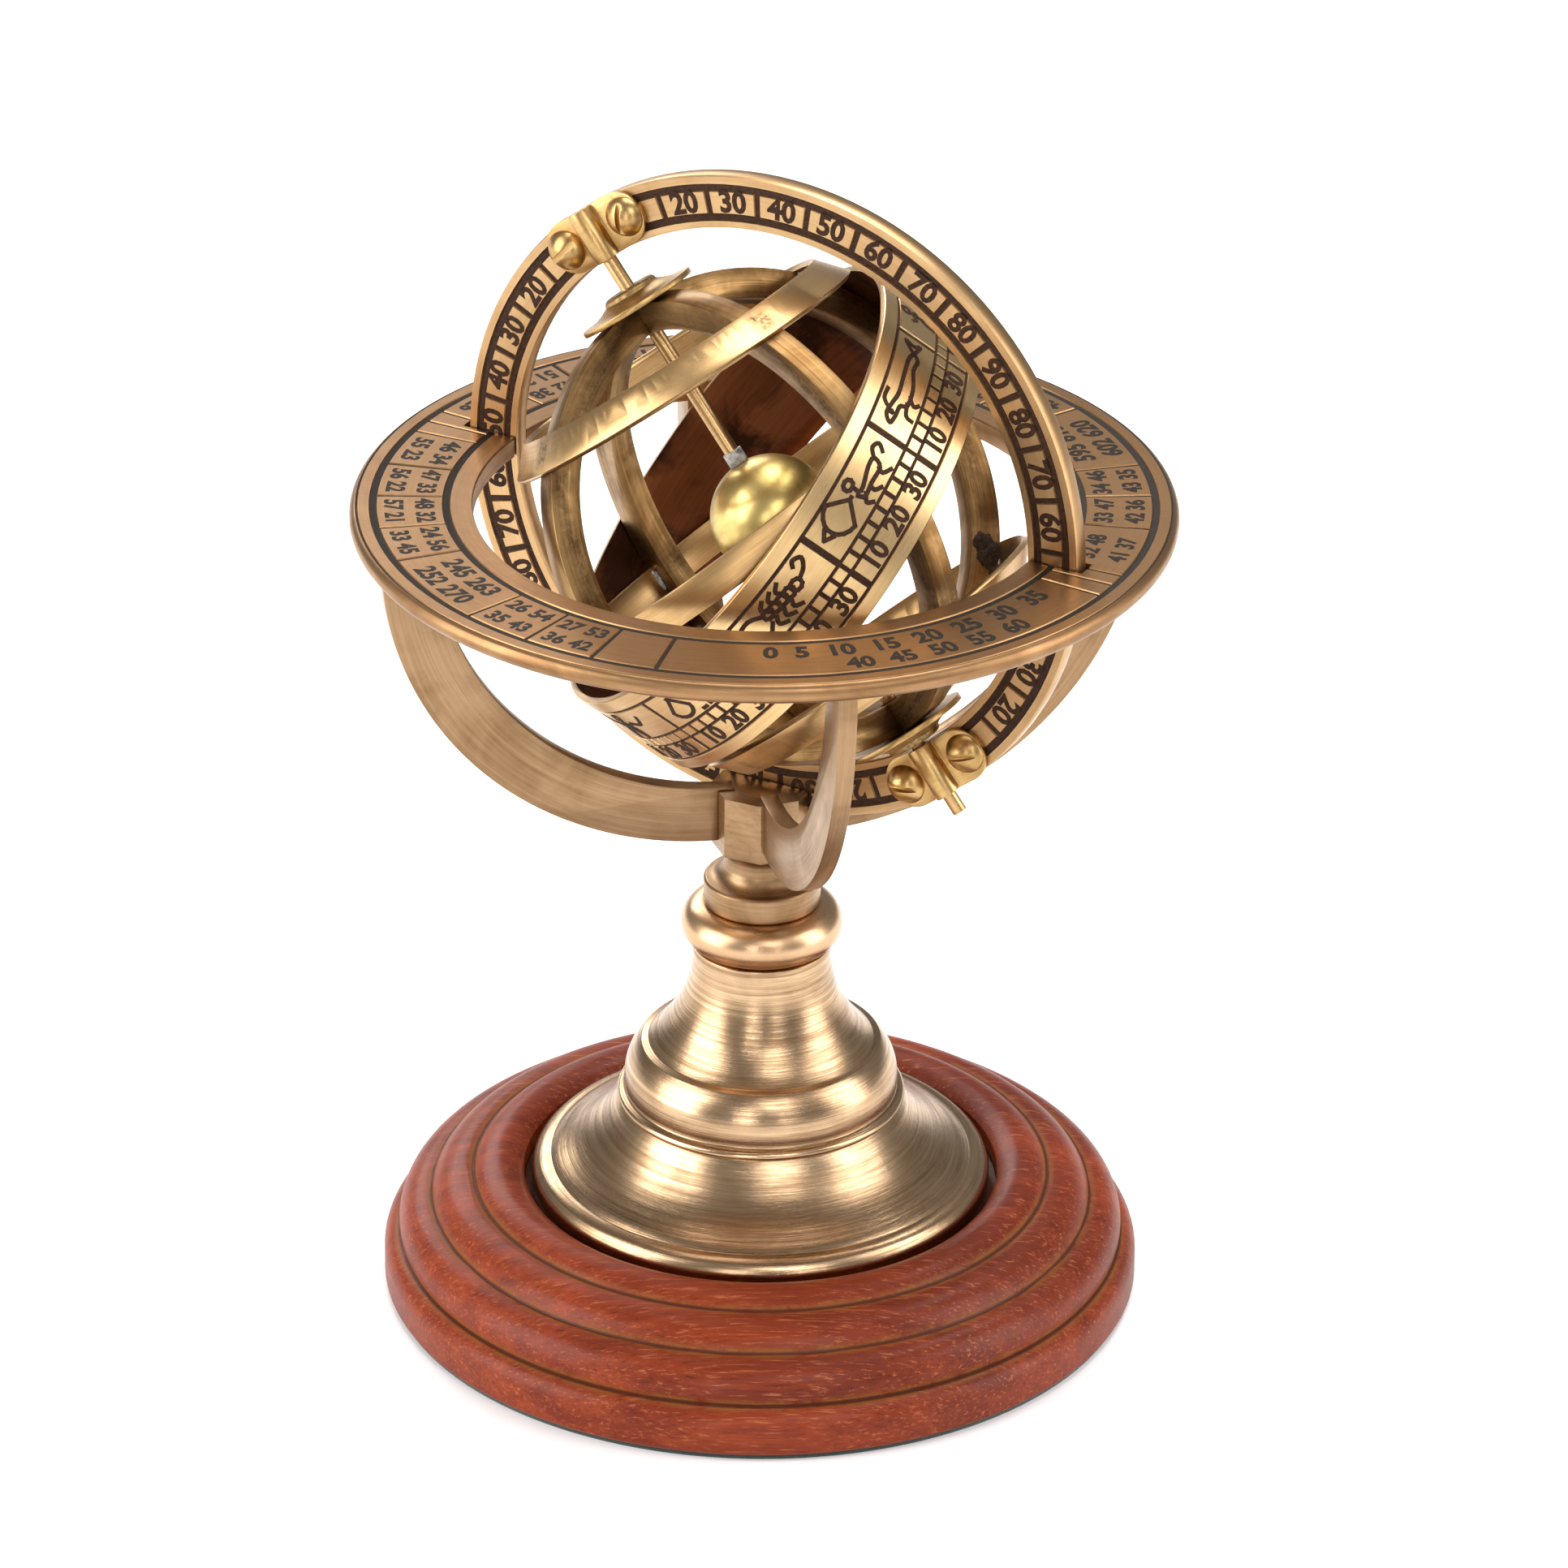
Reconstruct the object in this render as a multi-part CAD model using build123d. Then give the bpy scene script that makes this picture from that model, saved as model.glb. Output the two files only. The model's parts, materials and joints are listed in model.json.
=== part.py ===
"""Desktop armillary sphere on a turned wooden base: a cage of brass circles that spins on a
tilted polar rod, inside a meridian ring that slides round in a level horizon ring on a cradle."""

import os
from math import cos, radians, sin, sqrt

from build123d import *

# ---- Driving dimensions, in millimetres and degrees ----
FELT_RADIUS = 50.9
FELT_THICKNESS = 0.8

BASE_RADIUS = 51.6
GROOVE_1 = (49.3, 7.2)          # radius and height of the three turned grooves
GROOVE_2 = (45.1, 12.7)
GROOVE_3 = (39.3, 15.9)
RECESS_RADIUS = 32.4
RECESS_LIP = 16.2
RECESS_FLOOR = 13.5
NUT_WELL_RADIUS = 9.0
NUT_WELL_TOP = 8.0

FOOT_RADIUS = 31.3
CONE_FOOT = (28.4, 18.9)
CONE_TOP = (19.2, 27.4)
BEAD_RADIUS = 19.6
BULGE_RADIUS = 18.5
STEP_EDGE = (16.3, 36.2)
BELL_FOOT = (15.4, 36.4)
NECK_RADIUS = 9.4
NECK_TOP = 51.2

COLLAR_RADIUS = 10.95
COLLAR_ROLL = 3.15
FLANGE_RADIUS = 7.93
FLANGE_BOTTOM = 57.5
FLANGE_TOP = 61.3
HUB_NECK_RADIUS = 5.2
HUB_BOTTOM = 66.3
HUB_TOP = 75.1
HUB_CORNER_RADIUS = 7.0
HUB_CORNER_ANGLE = -92.0

STUD_RADIUS = 2.5
STUD_BORE_RADIUS = 2.8
STUD_FOOT = 2.6
STUD_TOP = 65.3
WASHER_RADIUS = 8.0
WASHER_THICKNESS = 1.2
NUT_RADIUS = 4.6
NUT_HEIGHT = 4.0

ARM_THICKNESS = 2.5
ARM_ANGLES = {"front": -78.0, "right": 12.0, "back": 102.0, "left": -168.0}
ARM_OUTER_ARC = (6.0, 113.4, 45.7)     # distance from the centre line, height and radius
ARM_INNER_ARC = (4.0, 115.9, 40.5)

SPHERE_HEIGHT = 116.8
HORIZON_RADIUS = 55.0
HORIZON_BORE = 38.63
HORIZON_TOP = 117.1
HORIZON_THICKNESS = 2.8
NOTCH_REACH = 46.6

MERIDIAN_ANGLE = -28.5
MERIDIAN_RADIUS = 45.8
MERIDIAN_BORE = 38.4
MERIDIAN_THICKNESS = 2.5
MERIDIAN_FRONT = -1.2           # front face, measured from the polar rod's centre line
SLIDE_GAP = 0.3

POLE_TILT = 37.8                # polar rod from the vertical
ROD_RADIUS = 1.0
ROD_TOP = 45.8
ROD_BOTTOM = 48.7
STRAP_LENGTH = 16.7
STRAP_WIDTH = 7.5
STRAP_THICKNESS = 0.8
STRAP_CENTRE = 42.1
SCREW_SPACING = 11.0
SCREW_HEAD_RADIUS = 2.8
SCREW_HEAD_HEIGHT = 1.9
SCREW_SHANK_RADIUS = 1.25
SCREW_SLOT = (0.75, 0.9)

BALL_RADIUS = 8.3
FERRULE_RADIUS = 1.35
FERRULE_LENGTH = 2.4

CAGE_DROP = 2.0                 # the cage and the ball sit this far down the rod
CAGE_SPIN = 31.3                # turn of the node circle from the front
COLURE_RADIUS = 33.4
COLURE_BORE = 29.2
COLURE_THICKNESS = 3.4
POLE_HOLE_RADIUS = 1.5
HOOP_THICKNESS = 0.95

# Each hoop: radius and height of its outer face's upper edge, then of its lower edge, and its hand-set lean.
NORTH_HOOP = (22.7, 25.9, 26.1, 22.0, 0.0)
EQUATOR_HOOP = (33.2, 2.4, 33.2, -2.0, 5.0)
SOUTH_HOOP = (26.1, -22.0, 22.7, -25.9, 3.0)
ZODIAC_BORE = 33.45
ZODIAC_THICKNESS = 0.95
ZODIAC_WIDTH = 16.0
ZODIAC_TILT = 26.0

CAP_BRIM_RADIUS = 8.3
CAP_BRIM_HEIGHT = 33.6
CAP_SHEET = 0.8
CAP_CROWN_RADIUS = 3.9
CAP_CROWN_TOP = 35.8
CAP_BORE_RADIUS = ROD_RADIUS + 0.06

os.makedirs("parts", exist_ok=True)


def unit(vector):
    return Vector(*vector).normalized()


def turned(outline):
    """A closed outline of edges in radius and height, turned about the vertical."""
    return revolve(Plane.XZ * make_face(outline), Axis.Z)


def path(*points):
    return Polyline(*points)


def tube(outer, inner, bottom, top):
    """A plain tube along Z, between two heights."""
    height = top - bottom
    ring = Cylinder(outer, height) - Cylinder(inner, height)
    return Pos(0, 0, bottom + height / 2) * ring


def save(node, shape):
    solids = shape.solids()
    whole = solids[0] if len(solids) == 1 else Compound(children=list(solids))
    whole.label = node
    export_step(whole, f"parts/{node}.step")


# ---- Directions of the two moving frames ----
CENTRE = Vector(0, 0, SPHERE_HEIGHT)
ALONG = Vector(cos(radians(MERIDIAN_ANGLE)), sin(radians(MERIDIAN_ANGLE)), 0)
FACING = Vector(ALONG.Y, -ALONG.X, 0)
MERIDIAN_PLANE = Plane(origin=CENTRE, x_dir=ALONG, z_dir=FACING)
POLE = (Vector(0, 0, 1) * cos(radians(POLE_TILT)) - ALONG * sin(radians(POLE_TILT))).normalized()
ROD_PLANE = Plane(origin=CENTRE, x_dir=FACING, z_dir=POLE)

# The cage's front is the direction square to the rod that looks most towards -Y.
LEVEL_FRONT = Vector(0, -1, 0.42)
CAGE_FRONT = (LEVEL_FRONT - POLE * LEVEL_FRONT.dot(POLE)).normalized()
CAGE_SIDE = POLE.cross(CAGE_FRONT)
NODE = (CAGE_FRONT * cos(radians(CAGE_SPIN)) + CAGE_SIDE * sin(radians(CAGE_SPIN))).normalized()
CAGE_CENTRE = CENTRE - POLE * CAGE_DROP
BALL_PLANE = Plane(origin=CAGE_CENTRE, x_dir=FACING, z_dir=POLE)
CAGE_PLANE = Plane(origin=CAGE_CENTRE, x_dir=NODE, z_dir=POLE)


def felt():
    return tube(FELT_RADIUS, NUT_WELL_RADIUS, 0, FELT_THICKNESS)


def base():
    """Four turned rolls that step up to a recess for the brass foot."""
    bottom = FELT_THICKNESS
    outline = [
        path((STUD_BORE_RADIUS, NUT_WELL_TOP), (NUT_WELL_RADIUS, NUT_WELL_TOP), (NUT_WELL_RADIUS, bottom),
             (BASE_RADIUS - 0.3, bottom), (BASE_RADIUS, bottom + 0.4), (BASE_RADIUS, 4.4)),
        ThreePointArc((BASE_RADIUS, 4.4), (BASE_RADIUS - 0.55, 6.2), GROOVE_1),
        ThreePointArc(GROOVE_1, (48.75, 11.0), GROOVE_2),
        ThreePointArc(GROOVE_2, (42.9, 15.3), GROOVE_3),
        ThreePointArc(GROOVE_3, (36.5, 17.6), (RECESS_RADIUS, RECESS_LIP)),
        path((RECESS_RADIUS, RECESS_LIP), (RECESS_RADIUS, RECESS_FLOOR), (STUD_BORE_RADIUS, RECESS_FLOOR),
             (STUD_BORE_RADIUS, NUT_WELL_TOP)),
    ]
    return turned(outline)


def pedestal():
    """Hollow turned bell: rolled foot, shallow cone, bead, bulge, then a sweep up to the neck."""
    floor = RECESS_FLOOR
    bead_low, bead_high = 27.6, 28.9
    outline = [
        path((FOOT_RADIUS - 4.5, floor), (FOOT_RADIUS - 0.5, floor),
             (FOOT_RADIUS, floor + 0.5), (FOOT_RADIUS, 16.5)),
        ThreePointArc((FOOT_RADIUS, 16.5), (FOOT_RADIUS - 0.75, 17.9),
                      (CONE_FOOT[0] + 0.3, CONE_FOOT[1] - 0.35)),
        path((CONE_FOOT[0] + 0.3, CONE_FOOT[1] - 0.35), CONE_FOOT),
        ThreePointArc(CONE_FOOT, (23.1, 22.6), CONE_TOP),
        path(CONE_TOP, (BEAD_RADIUS - 0.6, bead_low)),
        ThreePointArc((BEAD_RADIUS - 0.6, bead_low), (BEAD_RADIUS, (bead_low + bead_high) / 2),
                      (BEAD_RADIUS - 0.6, bead_high)),
        path((BEAD_RADIUS - 0.6, bead_high), (BULGE_RADIUS, bead_high + 0.3)),
        ThreePointArc((BULGE_RADIUS, bead_high + 0.3), (BULGE_RADIUS - 0.2, 32.9), STEP_EDGE),
        path(STEP_EDGE, BELL_FOOT),
        ThreePointArc(BELL_FOOT, (11.2, 42.2), (NECK_RADIUS, NECK_TOP)),
        path((NECK_RADIUS, NECK_TOP), (STUD_BORE_RADIUS, NECK_TOP), (STUD_BORE_RADIUS, 45.0), (7.0, 45.0),
             (12.6, 35.0), (15.6, 27.0), (FOOT_RADIUS - 6.5, 17.5), (FOOT_RADIUS - 4.5, floor)),
    ]
    return turned(outline)


def collar():
    """Thick rounded ring between the bell and the cradle."""
    centre = COLLAR_RADIUS - COLLAR_ROLL
    middle = NECK_TOP + COLLAR_ROLL
    roll = turned(Pos(centre, middle) * Circle(COLLAR_ROLL))
    return roll + tube(centre, STUD_BORE_RADIUS, NECK_TOP, FLANGE_BOTTOM)


def meridian_gap():
    """The space that the meridian ring needs to slide round in its own plane."""
    middle = MERIDIAN_FRONT - MERIDIAN_THICKNESS / 2
    width = MERIDIAN_THICKNESS + 2 * SLIDE_GAP
    return MERIDIAN_PLANE * Pos(0, 0, middle) * Cylinder(MERIDIAN_RADIUS + SLIDE_GAP, width)


def hub_block():
    block = Pos(0, 0, (HUB_BOTTOM + HUB_TOP) / 2) * Rot(0, 0, HUB_CORNER_ANGLE) * extrude(
        RegularPolygon(HUB_CORNER_RADIUS, 8), (HUB_TOP - HUB_BOTTOM) / 2, both=True)
    return block


def hub():
    """Flange, necked stem and eight-sided block, slotted for the meridian ring."""
    outline = [
        path((0, FLANGE_BOTTOM), (FLANGE_RADIUS - 0.3, FLANGE_BOTTOM), (FLANGE_RADIUS, FLANGE_BOTTOM + 0.3),
             (FLANGE_RADIUS, FLANGE_TOP - 0.3), (FLANGE_RADIUS - 0.3, FLANGE_TOP),
             (FLANGE_RADIUS - 0.9, FLANGE_TOP)),
        ThreePointArc((FLANGE_RADIUS - 0.9, FLANGE_TOP), (HUB_NECK_RADIUS + 0.25, 62.6), (HUB_NECK_RADIUS, 64.4)),
        ThreePointArc((HUB_NECK_RADIUS, 64.4), (HUB_NECK_RADIUS + 0.3, 65.5), (6.2, HUB_BOTTOM)),
        path((6.2, HUB_BOTTOM), (0, HUB_BOTTOM), (0, FLANGE_BOTTOM)),
    ]
    return turned(outline) + hub_block() - meridian_gap() - stud()


def arm(angle):
    """Upright curved plate from the hub block to the underside of the horizon ring."""
    top = HORIZON_TOP - HORIZON_THICKNESS
    outer_x, outer_z, outer_r = ARM_OUTER_ARC
    inner_x, inner_z, inner_r = ARM_INNER_ARC
    sheet = Pos(outer_x, outer_z) * Circle(outer_r) - Pos(inner_x, inner_z) * Circle(inner_r)
    below = Pos(40, top - 60) * Rectangle(80, 120)
    outside = Pos(44, 80) * Rectangle(80, 160)
    face = Plane.XZ * (sheet & below & outside)
    plate = extrude(face, ARM_THICKNESS / 2, both=True)
    return Rot(0, 0, angle) * plate - hub_block() - meridian_gap()


def horizon():
    """Level ring with a rounded rim and two slots for the meridian ring."""
    bottom = HORIZON_TOP - HORIZON_THICKNESS
    middle = (bottom + HORIZON_TOP) / 2
    outline = [
        path((HORIZON_BORE, bottom), (HORIZON_RADIUS - 1.2, bottom)),
        ThreePointArc((HORIZON_RADIUS - 1.2, bottom), (HORIZON_RADIUS, middle), (HORIZON_RADIUS - 1.0, HORIZON_TOP)),
        path((HORIZON_RADIUS - 1.0, HORIZON_TOP), (HORIZON_BORE, HORIZON_TOP), (HORIZON_BORE, bottom)),
    ]
    notch_width = MERIDIAN_THICKNESS + 2 * SLIDE_GAP
    notch = Box(2 * NOTCH_REACH, notch_width, 3 * HORIZON_THICKNESS)
    offset = -(MERIDIAN_FRONT - MERIDIAN_THICKNESS / 2)
    return turned(outline) - Pos(0, 0, middle) * Rot(0, 0, MERIDIAN_ANGLE) * Pos(0, offset, 0) * notch


def stud():
    """Long threaded stud that draws the whole stand together."""
    return Pos(0, 0, (STUD_FOOT + STUD_TOP) / 2) * Cylinder(STUD_RADIUS, STUD_TOP - STUD_FOOT)


def washer():
    return tube(WASHER_RADIUS, STUD_BORE_RADIUS, NUT_WELL_TOP - WASHER_THICKNESS, NUT_WELL_TOP)


def nut():
    middle = NUT_WELL_TOP - WASHER_THICKNESS - NUT_HEIGHT / 2
    return Pos(0, 0, middle) * extrude(RegularPolygon(NUT_RADIUS, 6), NUT_HEIGHT / 2, both=True) - stud()


# ---- Pieces that slide round with the meridian ring ----
def meridian_ring():
    middle = MERIDIAN_FRONT - MERIDIAN_THICKNESS / 2
    ring = Cylinder(MERIDIAN_RADIUS, MERIDIAN_THICKNESS) - Cylinder(MERIDIAN_BORE, MERIDIAN_THICKNESS)
    ring = MERIDIAN_PLANE * Pos(0, 0, middle) * ring
    for plane in strap_planes():
        for side in (-1, 1):
            ring -= plane * Pos(side * SCREW_SPACING / 2, 0, middle) * Cylinder(SCREW_SHANK_RADIUS, MERIDIAN_THICKNESS)
    return ring


def strap_planes():
    """Frames on the ring at each pole: X along the ring, Y outward, Z off its front face."""
    planes = []
    for sign in (1, -1):
        outward = POLE * sign
        across = outward.cross(FACING)
        planes.append(Plane(origin=CENTRE + outward * STRAP_CENTRE, x_dir=across, z_dir=FACING))
    return planes


def strap(plane):
    """Flat saddle with rounded ends and a raised bridge over the rod."""
    flat_bottom = MERIDIAN_FRONT
    sheet = extrude(SlotOverall(STRAP_LENGTH, STRAP_WIDTH), STRAP_THICKNESS)
    sheet = Pos(0, 0, flat_bottom) * sheet
    bridge_radius = ROD_RADIUS + STRAP_THICKNESS
    bridge = Rot(90, 0, 0) * Cylinder(bridge_radius, STRAP_WIDTH)
    bridge += Pos(0, 0, flat_bottom / 2) * Box(2 * bridge_radius, STRAP_WIDTH, -flat_bottom)
    bridge &= Pos(0, 0, flat_bottom + 5) * Box(20, 20, 10)
    tunnel = Rot(90, 0, 0) * Cylinder(ROD_RADIUS, 2 * STRAP_WIDTH)
    tunnel += Pos(0, 0, flat_bottom / 2) * Box(2 * ROD_RADIUS, 2 * STRAP_WIDTH, -flat_bottom)
    shape = sheet + bridge - tunnel
    for side in (-1, 1):
        shape -= Pos(side * SCREW_SPACING / 2, 0, 0) * Cylinder(SCREW_SHANK_RADIUS, 10)
    return plane * shape


def screws(plane, slot_angles):
    """Two slotted round-head screws that clamp the strap to the ring."""
    seat = MERIDIAN_FRONT + STRAP_THICKNESS
    shank_end = MERIDIAN_FRONT - MERIDIAN_THICKNESS
    dome = (SCREW_HEAD_RADIUS ** 2 + SCREW_HEAD_HEIGHT ** 2) / (2 * SCREW_HEAD_HEIGHT)
    pair = []
    for side, angle in zip((-1, 1), slot_angles):
        head = Pos(0, 0, seat + SCREW_HEAD_HEIGHT - dome) * Sphere(dome)
        head &= Pos(0, 0, seat + 5) * Cylinder(SCREW_HEAD_RADIUS, 10)
        width, depth = SCREW_SLOT
        head -= Rot(0, 0, angle) * Pos(0, 0, seat + SCREW_HEAD_HEIGHT) * Box(8, width, 2 * depth)
        shank = Pos(0, 0, (seat + shank_end) / 2) * Cylinder(SCREW_SHANK_RADIUS, seat - shank_end)
        pair.append(plane * Pos(side * SCREW_SPACING / 2, 0, 0) * (head + shank))
    return Compound(children=[piece.solids()[0] for piece in pair])


def rod():
    length = ROD_TOP + ROD_BOTTOM
    return ROD_PLANE * Pos(0, 0, (ROD_TOP - ROD_BOTTOM) / 2) * Cylinder(ROD_RADIUS, length)


def ball():
    return BALL_PLANE * (Sphere(BALL_RADIUS) - Cylinder(ROD_RADIUS, 4 * BALL_RADIUS))


def ferrule(sign):
    """Short soldered sleeve where the rod enters the ball."""
    inner = sqrt(BALL_RADIUS ** 2 - FERRULE_RADIUS ** 2) - 0.4
    sleeve = Pos(0, 0, inner + FERRULE_LENGTH / 2) * (
        Cylinder(FERRULE_RADIUS, FERRULE_LENGTH) - Cylinder(ROD_RADIUS, FERRULE_LENGTH))
    sleeve -= Sphere(BALL_RADIUS)
    return BALL_PLANE * Rot(0 if sign > 0 else 180, 0, 0) * sleeve


# ---- Pieces of the spinning cage, built about the cage's own centre ----
def hoop(upper_radius, upper, lower_radius, lower, lean):
    """Thin band, coned to lie on the colures. It leans about the direction of the cage's front."""
    slant = Vector(upper - lower, lower_radius - upper_radius).normalized() * HOOP_THICKNESS
    ring = turned([path(
        (upper_radius, upper), (lower_radius, lower), (lower_radius - slant.X, lower - slant.Y),
        (upper_radius - slant.X, upper - slant.Y), (upper_radius, upper))])
    return CAGE_PLANE * Rot(0, 0, -CAGE_SPIN) * Rot(lean, 0, 0) * ring


def colure_ring():
    ring = Cylinder(COLURE_RADIUS, COLURE_THICKNESS) - Cylinder(COLURE_BORE, COLURE_THICKNESS)
    return Rot(90, 0, 0) * ring


def let_in(colure):
    """Cuts the seats in a colure that the three hoops are soldered into."""
    for hoop_size in (NORTH_HOOP, EQUATOR_HOOP, SOUTH_HOOP):
        colure -= hoop(*hoop_size)
    return colure


def equinoctial_colure():
    """Whole circle through the poles and the crossings of the zodiac, drilled for the rod."""
    return let_in(CAGE_PLANE * (colure_ring() - Cylinder(POLE_HOLE_RADIUS, 3 * COLURE_RADIUS)))


def solstitial_colure(side):
    """Half circle that butts against the whole one at both poles."""
    reach = 2 * COLURE_RADIUS
    keep = Pos(0, side * (COLURE_THICKNESS / 2 + reach / 2), 0) * Box(reach, reach, 2 * reach)
    return let_in(CAGE_PLANE * (Rot(0, 0, 90) * colure_ring() & keep))


def zodiac():
    band = tube(ZODIAC_BORE + ZODIAC_THICKNESS, ZODIAC_BORE, -ZODIAC_WIDTH / 2, ZODIAC_WIDTH / 2)
    return CAGE_PLANE * Rot(ZODIAC_TILT, 0, 0) * band


def polar_cap(sign):
    """Dished disc with a crown and a flared brim, bored to run on the rod."""
    seat = COLURE_RADIUS + 0.02
    brim = CAP_BRIM_HEIGHT
    edge = brim - 0.55
    outline = [
        path((CAP_BORE_RADIUS, seat), (2.8, seat), (3.0, brim - 0.1)),
        ThreePointArc((3.0, brim - 0.1), (5.6, brim - 0.2), (CAP_BRIM_RADIUS, edge)),
        path((CAP_BRIM_RADIUS, edge), (CAP_BRIM_RADIUS, edge + CAP_SHEET)),
        ThreePointArc((CAP_BRIM_RADIUS, edge + CAP_SHEET), (5.4, brim + 0.7), (CAP_CROWN_RADIUS, brim + 1.4)),
        ThreePointArc((CAP_CROWN_RADIUS, brim + 1.4), (CAP_CROWN_RADIUS - 0.3, brim + 2.0),
                      (CAP_CROWN_RADIUS - 0.9, CAP_CROWN_TOP)),
        path((CAP_CROWN_RADIUS - 0.9, CAP_CROWN_TOP), (CAP_BORE_RADIUS, CAP_CROWN_TOP), (CAP_BORE_RADIUS, seat)),
    ]
    return CAGE_PLANE * Rot(0 if sign > 0 else 180, 0, 0) * turned(outline)


def main():
    save("base_felt", felt())
    save("wood_base", base())
    save("pedestal", pedestal())
    save("pedestal_collar", collar())
    save("cradle_hub", hub())
    for name, angle in ARM_ANGLES.items():
        save(f"arm_{name}", arm(angle))
    save("horizon_ring", horizon())
    save("tie_stud", stud())
    save("tie_washer", washer())
    save("tie_nut", nut())

    north, south = strap_planes()
    save("meridian_ring", meridian_ring())
    save("north_strap", strap(north))
    save("south_strap", strap(south))
    save("north_strap_screws", screws(north, (10, 60)))
    save("south_strap_screws", screws(south, (-20, -35)))
    save("axis_rod", rod())
    save("earth_ball", ball())
    save("ball_ferrule_north", ferrule(1))
    save("ball_ferrule_south", ferrule(-1))

    save("equinoctial_colure", equinoctial_colure())
    save("solstitial_colure_left", solstitial_colure(-1))
    save("solstitial_colure_right", solstitial_colure(1))
    save("north_hoop", hoop(*NORTH_HOOP))
    save("equator_hoop", hoop(*EQUATOR_HOOP))
    save("south_hoop", hoop(*SOUTH_HOOP))
    save("zodiac_band", zodiac())
    save("north_cap", polar_cap(1))
    save("south_cap", polar_cap(-1))


main()
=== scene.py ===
"""Finishes of the desktop armillary sphere: engraved rings, zodiac band, solder, brass and turned wood."""
import json
import math
import random
from math import cos, degrees, pi, radians, sin

import bmesh
import bpy
from mathutils import Matrix, Vector, noise


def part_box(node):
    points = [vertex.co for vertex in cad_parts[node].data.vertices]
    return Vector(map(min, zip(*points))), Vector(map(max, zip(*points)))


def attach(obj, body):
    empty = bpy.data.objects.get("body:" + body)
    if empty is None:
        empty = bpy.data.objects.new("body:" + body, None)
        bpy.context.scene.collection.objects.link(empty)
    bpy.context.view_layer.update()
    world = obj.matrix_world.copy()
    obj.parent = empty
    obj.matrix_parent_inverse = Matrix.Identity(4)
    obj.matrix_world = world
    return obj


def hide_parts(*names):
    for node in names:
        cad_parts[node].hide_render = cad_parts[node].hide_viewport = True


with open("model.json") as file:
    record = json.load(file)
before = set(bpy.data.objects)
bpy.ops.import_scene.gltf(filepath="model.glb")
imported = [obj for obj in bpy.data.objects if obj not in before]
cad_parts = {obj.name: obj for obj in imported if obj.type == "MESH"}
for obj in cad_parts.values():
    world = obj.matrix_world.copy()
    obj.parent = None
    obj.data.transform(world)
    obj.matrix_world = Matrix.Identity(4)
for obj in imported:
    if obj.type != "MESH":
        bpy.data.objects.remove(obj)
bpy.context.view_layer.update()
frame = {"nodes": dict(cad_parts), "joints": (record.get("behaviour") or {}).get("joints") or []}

MM = 0.001
random.seed(11)


# ---- Frames of the moving parts, from the record's joints ----
def hinge(name):
    return next(joint for joint in frame["joints"] if joint["name"] == name)


CENTRE = Vector(hinge("meridian_turn")["pos_m"])
FACING = Vector(hinge("meridian_turn")["axis"]).normalized()
POLE = Vector(hinge("cage_spin")["axis"]).normalized()
UP = Vector((0, 0, 1))
ALONG = Vector((-FACING.y, FACING.x, 0)).normalized()
LEVEL_FRONT = Vector((0, -1, 0.42))
CAGE_FRONT = (LEVEL_FRONT - POLE * LEVEL_FRONT.dot(POLE)).normalized()
CAGE_SPIN = 31.3
CAGE_DROP = 2.0 * MM
ZODIAC_TILT = 26.0


def placed(x_axis, z_axis, origin):
    """A frame with the given X and Z directions."""
    y_axis = z_axis.cross(x_axis)
    turn = Matrix((x_axis, y_axis, z_axis)).transposed().to_4x4()
    return Matrix.Translation(origin) @ turn


def turned(angle, axis):
    return Matrix.Rotation(radians(angle), 4, axis)


ROW_FRAME = Matrix.Identity(4)
HORIZON_FRAME = Matrix.Translation(Vector((0, 0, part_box("horizon_ring")[1].z)))
MERIDIAN_FRAME = placed(ALONG, FACING, CENTRE)
ROD_FRAME = placed(FACING, POLE, CENTRE)
BALL_FRAME = placed(FACING, POLE, CENTRE - POLE * CAGE_DROP)
CAGE_FRAME = placed(CAGE_FRONT, POLE, CENTRE - POLE * CAGE_DROP) @ turned(CAGE_SPIN, "Z")
EQUINOX_FRAME = CAGE_FRAME @ turned(90, "X")
SOLSTICE_FRAME = CAGE_FRAME @ turned(90, "Z") @ turned(90, "X")
ZODIAC_FRAME = CAGE_FRAME @ turned(ZODIAC_TILT, "X")


def hoop_frame(height, lean):
    middle = Matrix.Translation(Vector((0, 0, height * MM)))
    return CAGE_FRAME @ turned(-CAGE_SPIN, "Z") @ turned(lean, "X") @ middle


# ---- Node groups ----
def new_group(name, inputs, outputs):
    group = bpy.data.node_groups.new(name, "ShaderNodeTree")
    for label, kind, value in inputs:
        socket = group.interface.new_socket(label, in_out="INPUT", socket_type="NodeSocket" + kind)
        if value is not None:
            socket.default_value = value
    for label, kind in outputs:
        group.interface.new_socket(label, in_out="OUTPUT", socket_type="NodeSocket" + kind)
    return group, Bench(group), group.nodes.new("NodeGroupInput").outputs, group.nodes.new("NodeGroupOutput").inputs


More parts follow.
